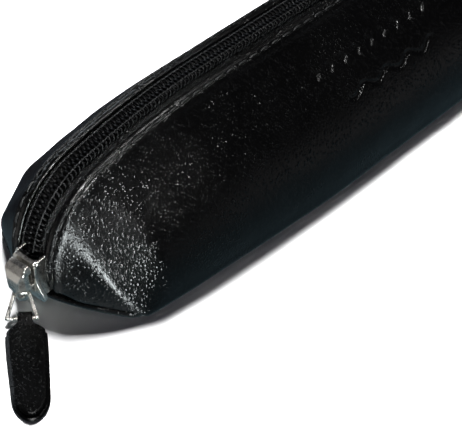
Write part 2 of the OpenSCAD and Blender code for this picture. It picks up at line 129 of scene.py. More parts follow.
def near_stations(l):
    """[angle, x, z, nx, nz] at path lengths from the foot of the leather edge to the middle of the top."""
    arc = arc_station(EDGE_A + l / END_R / DEG)
    a = END_TURN + (l - ARC_LEN) / CROWN_R / DEG
    c, s = np.cos(a * DEG), np.sin(a * DEG)
    crown = np.stack([a, CROWN_X - CROWN_R * c, CROWN_Z + CROWN_R * s, -c, s], -1)
    top = np.stack([np.full_like(l, 90.0), CROWN_X + l - ARC_LEN - CROWN_LEN, np.full_like(l, CASE_H),
                    np.zeros_like(l), np.ones_like(l)], -1)
    on_arc, on_crown = (l <= ARC_LEN)[:, None], (l <= ARC_LEN + CROWN_LEN)[:, None]
    return np.where(on_arc, arc, np.where(on_crown, crown, top))


def from_foot(l):
    """Path lengths counted from the nearer foot of the zip, and which of them lie in the far half."""
    far = l > HALF_LEN
    return np.where(far, FULL_LEN - l, l), far


def path_frame(l):
    """Places and outward normals of the path at lengths 0..FULL_LEN; lengths below 0 go on down the arc."""
    near, far = from_foot(np.asarray(l, float))
    s = near_stations(near)
    sign = np.where(far, -1.0, 1.0)
    flat = np.zeros_like(near)
    return np.stack([s[:, 1] * sign, flat, s[:, 2]], -1), np.stack([s[:, 3] * sign, flat, s[:, 4]], -1)


def side_y(x):
    return -(CORNER_Y + BELLY * (1 - (x / CORNER_X) ** 2))


def end_pt(y):
    return np.stack([-BASE_END + END_BOW * (np.abs(y) / CORNER_Y) ** 1.5, y], -1)


CORNER_IN = end_pt(np.array(-(CORNER_Y - CORNER_R)))
CORNER_OUT = np.array([-CORNER_X + CORNER_R, side_y(-CORNER_X + CORNER_R)])
CORNER_PT = np.array([-CORNER_X, -CORNER_Y])
FOLD_X = float(arc_station(FOLD_A)[1])


def bez2(a, b, c, t):
    return lerp(lerp(a, b, t), lerp(b, c, t), t)


def outline(s):
    """Plan points of the walls' foot below path stations: along the end, round the corner, along the side."""
    a = s[:, 0]
    end = end_pt(lerp(-FOOT_Y, CORNER_IN[1], (a - EDGE_A) / (FACET_A - EDGE_A)))
    bend = bez2(CORNER_IN, CORNER_PT, CORNER_OUT, ((a - FACET_A) / (FOLD_A - FACET_A))[:, None])
    x = s[:, 1] * CORNER_OUT[0] / FOLD_X
    side = np.stack([x, side_y(x)], -1)
    return np.where((a <= FACET_A)[:, None], end, np.where((a <= FOLD_A)[:, None], bend, side))


FACET_LEAN = 0.36
FACET_N = np.array([-1, -FACET_LEAN, 0]) / math.hypot(1, FACET_LEAN)
CREASE_N = unit(np.array([-0.62, -0.68, 0.39]))
CREASE_A, CREASE_FOOT, CREASE_FALL, CREASE_RISE = 37.0, 16.0, 39.0, 1.9
DIP_FADE = 9.0

# Handles of each ruling's curve: a reach as a share of its chord, and a push along the facet's normal.
FOOT_REACH, FOOT_PUSH = 0.36, 0.8
ZIP_REACH, ZIP_PUSH = 0.33, 0.5
SIDE_OUT, SIDE_RISE = 1.2, 0.5
SIDE_REACH, SIDE_SLOPE_END, SIDE_SLOPE_TOP = 0.36, 58.0, 50.0


def crease(a):
    """The crease that stands up between the end facet and the side, as an offset of a ruling's handles."""
    fall = np.cos(np.clip((a - CREASE_A) / CREASE_FALL, 0, 1) * math.pi / 2) ** 2
    lift = np.where(a < CREASE_A, bell(a, CREASE_A, CREASE_FOOT), fall)
    return CREASE_RISE * lift[:, None] * CREASE_N


def near_wall(l, t):
    """Outer face of the front wall's near half: path lengths l by heights t, 0 at the base and 1 at the zip."""
    s = near_stations(l)
    a = s[:, 0]
    foot = np.concatenate([outline(s), np.full((len(l), 1), WALL_Z)], 1)
    dip = arc_station(a - MARGIN_DIP * (1 - ease((a - EDGE_A) / DIP_FADE)))
    ms = np.where((a > END_TURN)[:, None], s, dip)
    margin = np.stack([ms[:, 1] - ms[:, 3] * MARGIN_DROP, np.full(len(l), -ZIP_HALF - MARGIN_W),
                       ms[:, 2] - ms[:, 4] * MARGIN_DROP], -1)
    edge = np.stack([s[:, 1], np.full(len(l), -ZIP_HALF), s[:, 2]], -1)
    w = ease((a - RIDGE_A) / (SIDE_A - RIDGE_A))[:, None]
    rise = margin[:, 2:] - foot[:, 2:]
    side_low = np.concatenate([rise * 0, rise * 0 - SIDE_OUT, rise * SIDE_RISE], 1)
    low = lerp((margin - foot) * FOOT_REACH + FACET_N * FOOT_PUSH, side_low, w) + crease(a)
    slope = lerp(SIDE_SLOPE_END, SIDE_SLOPE_TOP, ease((a - FOLD_A) / (END_TURN - FOLD_A)))[:, None] * DEG
    reach = np.linalg.norm(margin - foot, axis=1, keepdims=True) * SIDE_REACH
    side_high = np.concatenate([-s[:, 3:4] * np.sin(slope), -np.cos(slope), -s[:, 4:5] * np.sin(slope)], 1)
    high = lerp((foot - margin) * ZIP_REACH - FACET_N * ZIP_PUSH, side_high * reach, w) + crease(a)
    p0, p1, p2, p3 = (v[:, None, :] for v in (foot, foot + low, margin + high, margin))
    u = np.clip(t / MARGIN_T, 0, 1)[None, :, None]
    body = p0 * (1 - u) ** 3 + 3 * p1 * u * (1 - u) ** 2 + 3 * p2 * u * u * (1 - u) + p3 * u ** 3
    m = np.clip((t - MARGIN_T) / (1 - MARGIN_T), 0, 1)[None, :, None]
    return np.where((t > MARGIN_T)[None, :, None], lerp(margin[:, None, :], edge[:, None, :], m), body)


def wall_points(l, t):
    """Outer face of the whole front wall; the far half mirrors the near one."""
    near, far = from_foot(l)
    g = near_wall(near, t)
    g[far, :, 0] *= -1
    return g


def grid_normals(g):
    return unit(np.cross(np.gradient(g, axis=0), np.gradient(g, axis=1)))


# ---- Mesh helpers -------------------------------------------------------------------------------------------
def new_object(name, verts, faces, mat, smooth=True, uvs=None):
    """A mesh object in metres from points in millimetres; uvs, one per point, become metres too."""
    mesh = bpy.data.meshes.new(name)
    mesh.from_pydata((np.asarray(verts, float) * MM).tolist(), [], faces)
    mesh.validate()
    if smooth:
        mesh.polygons.foreach_set("use_smooth", [True] * len(mesh.polygons))
    if uvs is not None:
        layer = mesh.uv_layers.new(name="cloth")
        index = np.zeros(len(mesh.loops), int)
        mesh.loops.foreach_get("vertex_index", index)
        layer.data.foreach_set("uv", (np.asarray(uvs, float) * MM)[index].ravel())
    mesh.materials.append(mat)
    obj = bpy.data.objects.new(name, mesh)
    bpy.context.scene.collection.objects.link(obj)
    return obj


def tube_faces(n, m):
    """Quads round n rings of m points each."""
    i, j = np.meshgrid(np.arange(n - 1), np.arange(m), indexing="ij")
    k = (j + 1) % m
    return np.stack([i * m + j, (i + 1) * m + j, (i + 1) * m + k, i * m + k], -1).reshape(-1, 4).tolist()


def ring_solid(rings):
    """Vertices and faces of a closed solid through rings of points, with its two ends capped."""
    rings = np.asarray(rings, float)
    n, m = rings.shape[:2]
    faces = tube_faces(n, m)
    for row, flip in ((0, False), (n - 1, True)):
        for j in range(m // 2 - 1):
            q = [row * m + j, row * m + j + 1, row * m + m - 2 - j, row * m + m - 1 - j]
            faces.append(q[::-1] if flip else q)
    return rings.reshape(-1, 3), faces


def mirrored(verts, faces, axis=1):
    """The mirror image across the long middle plane, or across the case's middle with axis 0."""
    v = np.array(verts, float)
    v[:, axis] *= -1
    return v, [f[::-1] for f in faces]


def tube(points, radius, sides):
    """Vertices and faces of a round tube along points, capped at both ends."""
    p = np.asarray(points, float)
    tangent = unit(np.gradient(p, axis=0))
    r = np.broadcast_to(np.asarray(radius, float), (len(p),))
    a = np.arange(sides) * 2 * math.pi / sides
    side = unit(np.cross(tangent[0], [0.0, 0.0, 1.0]) + 1e-9)
    rings = []
    for k in range(len(p)):
        side = unit(side - tangent[k] * np.dot(side, tangent[k]))
        up = np.cross(tangent[k], side)
        rings.append(p[k] + r[k] * (np.cos(a)[:, None] * side + np.sin(a)[:, None] * up))
    faces = tube_faces(len(p), sides)
    faces.append(list(range(sides))[::-1])
    faces.append([(len(p) - 1) * sides + j for j in range(sides)])
    return np.concatenate(rings), faces


def join(parts):
    """One set of vertices and faces from several."""
    verts, faces, base = [], [], 0
    for v, f in parts:
        verts.append(v)
        faces += [[i + base for i in q] for q in f]
        base += len(v)
    return np.concatenate(verts), faces


def there_and_back(over, under):
    """Rings that run along one grid's rows and return along another's."""
    return np.concatenate([over, under[:, ::-1]], axis=1)


def waves(p, count, low, high, seed):
    """Smooth noise over points, from sines with wavelengths between low and high millimetres."""
    r = np.random.default_rng(seed)
    out = np.zeros(p.shape[:-1])
    for _ in range(count):
        d = unit(r.normal(size=3))
        out += np.sin(p @ d * 2 * math.pi / r.uniform(low, high) + r.uniform(0, 2 * math.pi))
    return out / math.sqrt(count)


# ---- Materials; scales are per metre, and bump depths in metres ---------------------------------------------
class Nodes:
    """A small builder for one material's node tree."""

    def __init__(self, name):
        self.mat = bpy.data.materials.new(name)
        self.mat.use_nodes = True
        self.tree = self.mat.node_tree
        self.bsdf = self.tree.nodes["Principled BSDF"]

    def feed(self, socket, value):
        """Links a socket to another, or sets its value."""
        if isinstance(value, bpy.types.NodeSocket):
            self.tree.links.new(value, socket)
        else:
            socket.default_value = value

    def add(self, kind, inputs=None, **props):
        node = self.tree.nodes.new(kind)
        for k, v in props.items():
            setattr(node, k, v)
        for k, v in (inputs or {}).items():
            self.feed(node.inputs[k], v)
        return node

    def coords(self):
        return self.add("ShaderNodeTexCoord").outputs["Object"]

    def uv(self):
        return self.add("ShaderNodeUVMap", uv_map="cloth").outputs["UV"]

    def noise(self, vector, scale, detail=2.0, rough=0.5):
        return self.add("ShaderNodeTexNoise", {"Vector": vector, "Scale": scale, "Detail": detail,
                                               "Roughness": rough}).outputs["Fac"]

    def cells(self, vector, scale, feature, **inputs):
        inputs.update({"Vector": vector, "Scale": scale})
        return self.add("ShaderNodeTexVoronoi", inputs, feature=feature).outputs["Distance"]

    def math(self, op, a, b=0.0):
        return self.add("ShaderNodeMath", {0: a, 1: b}, operation=op).outputs[0]

    def total(self, *terms):
        """The weighted sum of (value, weight) terms."""
        parts = [self.math("MULTIPLY", value, weight) for value, weight in terms]
        out = parts[0]
        for part in parts[1:]:
            out = self.math("ADD", out, part)
        return out

    def ramp(self, fac, low, dark, high, light):
        node = self.add("ShaderNodeValToRGB", {"Fac": fac})
        for stop, place, colour in zip(node.color_ramp.elements, (low, high), (dark, light)):
            stop.position = place
            stop.color = (*colour, 1.0)
        return node.outputs["Color"]

    def span(self, value, low, high, out_low, out_high):
        return self.add("ShaderNodeMapRange", {"Value": value, "From Min": low, "From Max": high,
                                               "To Min": out_low, "To Max": out_high}).outputs["Result"]

    def bump(self, height, distance):
        return self.add("ShaderNodeBump", {"Height": height, "Distance": distance,
                                           "Strength": 1.0}).outputs["Normal"]

    def set(self, **sockets):
        for k, v in sockets.items():
            self.feed(self.bsdf.inputs[k.replace("_", " ")], v)
        return self.mat


def grey(v):
    return (v, v, v)


def scaled(colour, k):
    return tuple(c * k for c in colour)


def leather_material(name, dark, light, pebble, depth, rough, level):
    """Pebbled leather: rounded grains parted by fine creases, pores, and slow changes in colour and polish."""
    m = Nodes(name)
    p = m.coords()
    warp = m.add("ShaderNodeTexNoise", {"Vector": p, "Scale": pebble * 0.7, "Detail": 1.0}).outputs["Color"]
    shift = m.add("ShaderNodeVectorMath", {0: warp, 1: (0.5, 0.5, 0.5)}, operation="SUBTRACT").outputs[0]
    small = m.add("ShaderNodeVectorMath", {0: shift, "Scale": 0.5 / pebble}, operation="SCALE").outputs[0]
    q = m.add("ShaderNodeVectorMath", {0: p, 1: small}).outputs[0]
    dome = m.span(m.cells(q, pebble, "SMOOTH_F1", Smoothness=0.08), 0.02, 0.42, 1.0, 0.0)
    parting = m.span(m.cells(q, pebble, "DISTANCE_TO_EDGE"), 0.0, 0.16, 0.0, 1.0)
    pores = m.noise(p, pebble * 5, 3.0, 0.6)
    swell = m.noise(p, pebble * 0.22, 2.0, 0.5)
    broad = m.noise(p, 45.0, 3.0, 0.55)
    height = m.total((dome, 0.85), (parting, 0.12), (pores, 0.12), (swell, 0.6))
    colour = m.ramp(m.total((broad, 0.7), (dome, 0.3)), 0.25, dark, 0.75, light)
    polish = m.span(m.total((broad, 1.0), (dome, 0.35)), 0.35, 1.0, rough + 0.1, rough - 0.06)
    return m.set(Base_Color=colour, Roughness=polish, Normal=m.bump(height, depth), Specular_IOR_Level=level)


def weave_material(name, dark, light, across, along, depth, rough, level, sheen=0.0):
    """Woven cloth, with its threads laid along and across the piece's own length and width."""
    m = Nodes(name)
    p = m.coords()
    split = m.add("ShaderNodeSeparateXYZ", {"Vector": m.uv()}).outputs
    warp = m.math("SINE", m.math("MULTIPLY", split["X"], along * math.pi * 2))
    weft = m.math("SINE", m.math("MULTIPLY", split["Y"], across * math.pi * 2))
    hair = m.noise(p, 9000.0, 2.0, 0.6)
    patch = m.noise(p, 400.0, 3.0)
    height = m.total((m.math("MULTIPLY", warp, weft), 0.5), (hair, 0.35))
    colour = m.ramp(m.total((height, 0.5), (patch, 0.5)), 0.1, dark, 0.8, light)
    return m.set(Base_Color=colour, Roughness=m.span(hair, 0.3, 0.7, rough + 0.1, rough - 0.1),
                 Normal=m.bump(height, depth), Specular_IOR_Level=level, Sheen_Weight=sheen)


def plastic_material(name, colour, rough, level):
    """Drawn nylon, faintly cloudy."""
    m = Nodes(name)
    n = m.noise(m.coords(), 2500.0)
    return m.set(Base_Color=m.ramp(n, 0.3, colour, 0.7, scaled(colour, 1.6)),
                 Roughness=m.span(n, 0.3, 0.7, rough - 0.05, rough + 0.1),
                 Normal=m.bump(n, 0.00003), Specular_IOR_Level=level)


def metal_material(name, colour, rough):
    """Tumbled metal: a clouded polish, fine pits and short brush lines."""
    m = Nodes(name)
    p = m.coords()
    cloud = m.noise(p, 350.0, 4.0, 0.6)
    stretch = m.add("ShaderNodeMapping", {"Vector": p, "Scale": (1.0, 1.0, 9.0)}).outputs[0]
    lines = m.noise(stretch, 5000.0, 2.0, 0.7)
    pits = m.noise(p, 2200.0, 3.0, 0.6)
    polish = m.span(m.total((cloud, 0.5), (lines, 0.5)), 0.35, 0.65, rough - 0.08, rough + 0.12)
    return m.set(Base_Color=m.ramp(cloud, 0.3, scaled(colour, 0.72), 0.7, colour), Roughness=polish,
                 Normal=m.bump(m.total((lines, 0.4), (pits, 1.0)), 0.00002), Metallic=1.0)


LEATHER = leather_material("pebbled_leather", grey(0.0003), grey(0.0010),
                           pebble=1300.0, depth=0.00012, rough=0.19, level=0.28)
TAB_LEATHER = leather_material("tab_leather", grey(0.0002), grey(0.0008),
                               pebble=1700.0, depth=0.00006, rough=0.24, level=0.09)
TAPE = weave_material("zip_tape_weave", grey(0.0008), grey(0.003),
                      across=1600.0, along=1300.0, depth=0.00022, rough=0.26, level=0.35)
LINING = weave_material("lining_weave", grey(0.02), grey(0.05),
                        across=1500.0, along=1500.0, depth=0.00008, rough=0.75, level=0.2, sheen=0.1)
COIL = plastic_material("coil_nylon", (0.0006, 0.0006, 0.0008), rough=0.34, level=0.10)
THREAD = weave_material("sewing_thread", grey(0.001), grey(0.003),
                        across=2000.0, along=1400.0, depth=0.00008, rough=0.5, level=0.4)
NICKEL = metal_material("satin_nickel", (0.60, 0.58, 0.54), rough=0.26)
STEEL = metal_material("spring_steel", (0.45, 0.45, 0.47), rough=0.35)
BOARD = leather_material("greyboard", (0.10, 0.085, 0.06), (0.2, 0.17, 0.12),
                         pebble=1800.0, depth=0.00004, rough=0.85, level=0.2)

# ---- Leather walls; seam and ornament are placed by their distance from the zip's edge -----------------------
SEAM_E, GROOVE_D, GROOVE_W = 2.1, 0.30, 0.38
TURNED_E, TURNED_H, TURNED_W = 1.1, 0.10, 0.55
PUCKER_E, PUCKER_H, PUCKER_W = 3.4, 0.13, 0.9
ROLL_D, ROLL_W = 0.35, 0.5
DENT_H, DENT_E, DENT_FADE = 0.22, 4.0, 10.0
RIPPLE_H, RIPPLE_E, RIPPLE_FADE = 0.05, 1.0, 3.0

PRESS_D, PRESS_SOFT = 0.36, 0.45
ROW_X, ROW_STEP, ROW_N, ROW_E = -13.5, 5.2, 9, 14.6
LOZENGE_L, LOZENGE_H = 1.9, 2.1
WAVE_X, WAVE_E, WAVE_FADE = (-8.0, 28.0), 23.6, 1.2
WAVE_AMP, WAVE_PITCH, WAVE_W, WAVE_SLOPE = 0.9, 9.0, 0.75, 0.8


def spaced(stops):
    """Values through (value, count) stops, evenly spaced within each stretch."""
    out = [np.array([stops[0][0]])]
    for (a, _), (b, n) in zip(stops[:-1], stops[1:]):
        out.append(np.linspace(a, b, n + 1)[1:])
    return np.concatenate(out)


def edge_distance(g):
    """Distance from the zip's edge, along each ruling."""
    step = np.linalg.norm(np.diff(g, axis=1), axis=2)
    back = np.cumsum(step[:, ::-1], axis=1)[:, ::-1]
    return np.concatenate([back, np.zeros((len(g), 1))], axis=1)


def seam_relief(l, e, g):
    """Height of the skin above the plain surface: seam groove, turned edge, stitch puckers and soft dents."""
    phase = (l - HALF_LEN)[:, None] / STITCH_PITCH * 2 * math.pi
    groove = -GROOVE_D * bell(e, SEAM_E, GROOVE_W) * (1 - 0.18 * np.cos(phase))
    turned = TURNED_H * bell(e, TURNED_E, TURNED_W)
    pucker = PUCKER_H * bell(e, PUCKER_E, PUCKER_W) * (1 + 0.25 * np.cos(phase))
    roll = -ROLL_D * np.clip(1 - e / ROLL_W, 0, 1) ** 2
    dents = DENT_H * ease((e - DENT_E) / DENT_FADE) * waves(g, count=9, low=26, high=60, seed=3)
    ripples = RIPPLE_H * ease((e - RIPPLE_E) / RIPPLE_FADE) * waves(g, count=10, low=7, high=16, seed=4)
    return groove + turned + pucker + roll + dents + ripples


def ornament(e, g):
    """A plain debossed ornament: a row of lozenges above one wavy line."""
    x = g[:, :, 0]
    k = np.clip(np.round((x - ROW_X) / ROW_STEP), 0, ROW_N - 1)
    dx, de = np.abs(x - ROW_X - k * ROW_STEP), np.abs(e - ROW_E)
    lozenge = ease((1 - dx / LOZENGE_L - de / LOZENGE_H) / PRESS_SOFT)
    wave_e = WAVE_E + WAVE_AMP * np.sin((x - WAVE_X[0]) * 2 * math.pi / WAVE_PITCH)
    inside = ease((x - WAVE_X[0]) / WAVE_FADE) * ease((WAVE_X[1] - x) / WAVE_FADE)
    wave = ease((WAVE_W - np.abs(e - wave_e) * WAVE_SLOPE) / PRESS_SOFT) * inside
    return -PRESS_D * np.maximum(lozenge, wave)


def front_relief(l, e, g):
    return seam_relief(l, e, g) + ornament(e, g)


# Rows below a wall's foot, as (distance outwards, height): round a long fold, and tucked in over a T-seam.
ROUND_FOLD = np.array([[-1.45, 0.05], [-1.0, 0.06], [-0.55, 0.18], [-0.2, 0.5], [0.0, 0.95], [0.08, 1.6]])
TUCK = np.array([[-1.0, 2.14], [-0.8, 2.14], [-0.6, 2.14], [-0.4, 2.15], [-0.22, 2.18], [-0.07, 2.23]])
FOLD_STARTS, FOLD_SHORTER = 4.0, 12.0


def wrap_rows(l, foot):
    """Rows that carry the leather down round the long fold to the underside, or tuck it in over a T-seam."""
    a = near_stations(from_foot(l)[0])[:, 0]
    w = ease((a - FACET_A - FOLD_STARTS) / (FOLD_A - FACET_A - FOLD_SHORTER))[:, None, None]
    d = np.gradient(foot[:, :2], axis=0)
    out = unit(np.stack([d[:, 1], -d[:, 0]], -1))
    out = out * np.sign((out * foot[:, :2]).sum(1))[:, None]
    profile = lerp(TUCK[None], ROUND_FOLD[None], w)
    rows = foot[:, None, :].repeat(len(TUCK), 1)
    rows[:, :, :2] += out[:, None, :] * profile[:, :, :1]
    rows[:, :, 2] = profile[:, :, 1]
    return rows


CORNER_SPREAD, CORNER_SAMPLES, CORNER_REACH = 4.0, 9, 5.5
CORNER_L = (FOLD_A - EDGE_A) * DEG * END_R + 1


def eased_corner(l, t):
    """The wall's outer face, softened where the corner's rulings meet the side's."""
    shifts = np.linspace(-CORNER_SPREAD, CORNER_SPREAD, CORNER_SAMPLES)
    spread = np.mean([wall_points(np.clip(l + k, 0, FULL_LEN), t) for k in shifts], axis=0)
    weight = bell(l, CORNER_L, CORNER_REACH) + bell(l, FULL_LEN - CORNER_L, CORNER_REACH)
    return lerp(wall_points(l, t), spread, weight[:, None, None])


# The rounded edge at the zip, as (share of the leather's thickness, share of the lip's reach).
LIP = ((0.10, 0.6), (0.32, 1.0), (0.68, 1.0), (0.90, 0.6))
LIP_REACH = 0.30
END_THIN, END_THIN_RUN = 0.35, 0.5


def leather_wall(l, t, relief):
    """One wall's solid: outer face from the underside up to the zip, its rounded edge, and back down inside."""
    g = eased_corner(l, t)
    skin = g + grid_normals(g) * relief(l, edge_distance(g), g)[:, :, None]
    outer = np.concatenate([wrap_rows(l, skin[:, 0]), skin], axis=1)
    from_end = np.minimum(l - l[0], l[-1] - l)[:, None, None]
    thick = LEATHER_T * np.clip(from_end / END_THIN_RUN + END_THIN, END_THIN, 1)
    inner = outer - grid_normals(outer) * thick
    reach = unit(outer[:, -1] - outer[:, -3]) * LIP_REACH
    lip = np.stack([lerp(outer[:, -1], inner[:, -1], f) + reach * k for f, k in LIP], 1)
    return ring_solid(np.concatenate([outer, lip, inner[:, ::-1]], axis=1))


# The front wall's grid is finest round the ornament.
SEAM_T = MARGIN_T - 0.06
front_t = spaced([(0.0, 0), (0.30, 14), (0.40, 7), (0.76, 54), (SEAM_T, 8), (MARGIN_T, 10), (1.0, 16)])
front_l = spaced([(0.0, 0), (2.0, 6), (93.0, 190), (144.0, 170), (FULL_LEN - 2.0, 150), (FULL_LEN, 6)])
back_t = spaced([(0.0, 0), (0.30, 14), (0.62, 26), (SEAM_T, 12), (MARGIN_T, 10), (1.0, 16)])
back_l = spaced([(0.0, 0), (2.0, 6), (FULL_LEN - 2.0, 440), (FULL_LEN, 6)])

front = new_object("leather_front_skin", *leather_wall(front_l, front_t, front_relief), LEATHER)
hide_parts("leather_front")
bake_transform(front)

back = new_object("leather_back_skin", *mirrored(*leather_wall(back_l, back_t, seam_relief)), LEATHER)
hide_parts("leather_back")
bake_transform(back)

# ---- Base leather, as (set in at the sides, set in at the ends, height) from the table up --------------------
PANEL_LEVELS = [(1.9, 1.6, 0.0), (1.7, 0.7, 0.12), (1.6, 0.15, 0.45), (1.55, -0.15, 0.95), (1.55, -0.2, 1.5),
                (1.55, -0.05, 1.9), (1.6, 0.2, 2.04), (1.8, 1.0, 2.06), (1.9, 1.2, 2.06), (1.95, 1.25, 1.0)]
CLOTH_LEVELS = [(1.28, 1.28, 1.66), (1.25, 1.25, 1.75), (1.25, 1.25, 2.02), (1.35, 1.35, 2.06)]


def base_ring(inset_side, inset_end):
    """Closed plan of the base, set in by one distance along the long sides and another at the ends."""
    end = end_pt(np.linspace(0, CORNER_IN[1], 24))
    bend = bez2(CORNER_IN, CORNER_PT, CORNER_OUT, np.linspace(0, 1, 13)[1:, None])
    x = np.linspace(CORNER_OUT[0], 0, 60)[1:]
    side = np.stack([x, side_y(x)], -1)
    q = np.concatenate([end, bend, side])
    w = np.concatenate([np.zeros(len(end)), np.linspace(0, 1, len(bend)), np.ones(len(side))])
    ring = np.concatenate([q, q[-2::-1] * [-1, 1], q[1:] * [-1, -1], q[-2:0:-1] * [1, -1]])
    w = np.concatenate([w, w[-2::-1], w[1:], w[-2:0:-1]])
    d = np.roll(ring, -1, 0) - np.roll(ring, 1, 0)
    inward = unit(np.stack([-d[:, 1], d[:, 0]], -1))
    return ring + inward * lerp(inset_end, inset_side, w)[:, None]


def base_solid(levels):
    rings = []
    for side, end, z in levels:
        r = base_ring(side, end)
        rings.append(np.concatenate([r, np.full((len(r), 1), z)], 1))
    m = len(rings[0])
    faces = tube_faces(len(rings), m)
    faces.append(list(range(m))[::-1])
    faces.append([(len(rings) - 1) * m + j for j in range(m)])
    return np.concatenate(rings), faces


base = new_object("leather_base_panel", *base_solid(PANEL_LEVELS), LEATHER)
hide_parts("leather_base")
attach(base, "base")

# ---- Lining, board and the other inner solids ----------------------------------------------------------------
LINING_FOOT_A, LINING_ROWS, LINING_COLUMNS = 7.0, 240, 30
LINING_LOW_T, LINING_HIGH_T, LINING_TOP_T = 0.03, 0.93, 0.965
LINING_GAP, UNDER_TAPE_GAP, RIM_GAP = 0.1, 0.25, 0.06
STEP_T, STEP_RUN = 0.68, 0.2
CLOTH_W, CLOTH_SWELL = 40.0, 0.05

lining_t = np.concatenate([np.linspace(LINING_LOW_T, LINING_HIGH_T, LINING_COLUMNS), [LINING_TOP_T]])
lining_foot = END_R * LINING_FOOT_A * DEG
lining_l = np.linspace(lining_foot, FULL_LEN - lining_foot, LINING_ROWS)
wall = wall_points(lining_l, lining_t)
wall_n = grid_normals(wall)
depth = lerp(LEATHER_T + LINING_GAP, TAPE_DEPTH + TAPE_T + UNDER_TAPE_GAP, ease((lining_t - STEP_T) / STEP_RUN))
swell = CLOTH_SWELL * (1 + waves(wall, count=8, low=6, high=18, seed=9))[:, :, None]
lining_out = wall - wall_n * depth[None, :, None]
lining_in = lining_out - wall_n * (LINING_T + swell)
for layer in (lining_out, lining_in):
    layer[:, :, 2] = np.maximum(layer[:, :, 2], RIM_Z + RIM_GAP)
lining = ring_solid(there_and_back(lining_out, lining_in))
across = np.linspace(0, CLOTH_W, len(lining_t))
cloth = np.stack(np.broadcast_arrays(lining_l[:, None], across[None]), -1)
lining_uv = there_and_back(cloth, cloth).reshape(-1, 2)
for side, solid in (("front", lining), ("back", mirrored(*lining))):
    o = new_object(f"lining_{side}_cloth", *solid, LINING, uvs=lining_uv)
    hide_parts(f"lining_{side}")
    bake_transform(o)

cloth_v, cloth_f = base_solid(CLOTH_LEVELS)
lining_floor = new_object("lining_base_cloth", cloth_v, cloth_f, LINING, smooth=False, uvs=cloth_v[:, :2])
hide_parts("lining_base")
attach(lining_floor, "base")

for node, mat in (("base_board", BOARD), ("tab_core", BOARD), ("slider_lock_spring", STEEL)):
    for s in frame["nodes"][node].material_slots:
        s.material = mat

# ---- Stitching ----------------------------------------------------------------------------------------------
STITCH_L, STITCH_POINTS, STITCH_CLEAR = 3.1, 11, 3.0
STITCH_H, STITCH_SINK, STITCH_ARCH, STITCH_STRAY = 0.16, 0.55, 0.10, 0.06
THREAD_R, THREAD_THIN, THREAD_SEED = 0.27, 0.05, 11


def stitch_tubes():
    """Every stitch of one seam: a short thread that rises from its hole, arches and dives into the next."""
    rng = np.random.default_rng(THREAD_SEED)
    steps = (np.arange(int((HALF_LEN - STITCH_CLEAR) / STITCH_PITCH)) + 0.5) * STITCH_PITCH
    seam_t = MARGIN_T + (1 - MARGIN_T) * (1 - SEAM_E / MARGIN_W)
    u = np.linspace(-0.5, 0.5, STITCH_POINTS)
    lift = STITCH_H - STITCH_SINK * np.abs(2 * u) ** 5 + STITCH_ARCH * (1 - (2 * u) ** 2) - GROOVE_D
    parts = []
    for centre in np.concatenate([HALF_LEN - steps, HALF_LEN + steps]):
        l = np.clip(centre + u * STITCH_L, 0.01, FULL_LEN - 0.01)
        g = wall_points(l, np.array([seam_t - 0.004, seam_t, seam_t + 0.004]))
        side = unit(g[:, 2] - g[:, 0])
        p = g[:, 1] + grid_normals(g)[:, 1] * lift[:, None] + side * rng.uniform(-STITCH_STRAY, STITCH_STRAY)
        parts.append(tube(p, THREAD_R - THREAD_THIN * np.abs(2 * u) ** 3, 8))
    return join(parts)


stitches = stitch_tubes()
for side, (verts, faces) in (("front", stitches), ("back", mirrored(*stitches))):
    o = new_object(f"seam_thread_{side}", verts, faces, THREAD, uvs=verts[:, [0, 2]])
    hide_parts(f"stitching_{side}")
    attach(o, f"{side}_wall")

# ---- Zip tape and coil --------------------------------------------------------------------------------------
TAPE_OUT, TAPE_IN, TAPE_CROWN = -6.0, -0.5, 0.06
TAPE_TOP, TAPE_UNDER = -TAPE_DEPTH, -TAPE_DEPTH - TAPE_T + 0.05
TAPE_ROWS, TAPE_COLUMNS = 260, 10
TOOTH_PITCH = 1.25
TOOTH_CLEAR = 0.6
SEW_Y, SEW_UP, SEW_R, SEW_RISE, SEW_CLEAR = -1.75, 1.18, 0.14, 0.10, 0.3
# One turn of the coil, as (along the zip, across from its middle, up from its path, radius).
COIL_TURN = np.array([[-0.06, 2.50, 0.30, 0.30], [-0.04, 2.30, 0.72, 0.31], [-0.02, 1.60, 0.95, 0.32],
                      [0.0, 0.85, 0.93, 0.34], [0.0, 0.32, 0.78, 0.38], [0.0, 0.10, 0.42, 0.38],
                      [0.02, 0.34, 0.05, 0.34], [0.10, 1.10, -0.35, 0.30], [0.40, 2.00, -0.45, 0.30],
                      [0.62, 2.48, -0.20, 0.30]])
# The foot of the tape and coil, which stays with the base.
FOOT_ROWS, FOOT_COLUMNS, FOOT_COIL_A = 40, 14, 1.5
FOOT_IN, FOOT_TUCK, FOOT_LEAVE, FOOT_FLARE, FOOT_BEND = 0.5, 0.8, 2.2, 1.6, 1.3


def a_to_l(a):
    return (a - EDGE_A) * DEG * END_R


def tape_strip(l):
    """One tape along the zip's path, as a closed solid with its cloth coordinates."""
    p, n = (v[:, None, :] for v in path_frame(l))
    y = np.linspace(TAPE_OUT, TAPE_IN, TAPE_COLUMNS)
    q = (y - TAPE_OUT) / (TAPE_IN - TAPE_OUT)
    over = p + n * (TAPE_TOP + TAPE_CROWN * np.sin(q * math.pi))[None, :, None]
    under = (p + n * TAPE_UNDER).repeat(TAPE_COLUMNS, 1)
    over[:, :, 1] = y
    under[:, :, 1] = y
    uv = np.stack(np.broadcast_arrays(l[:, None], y[None]), -1)
    return (*ring_solid(there_and_back(over, under)), there_and_back(uv, uv).reshape(-1, 2))


def along_path(l, y, up):
    """Points at path lengths, set across and up from the path."""
    p, n = path_frame(l)
    q = p + n * up[:, None]
    q[:, 1] = y
    return q


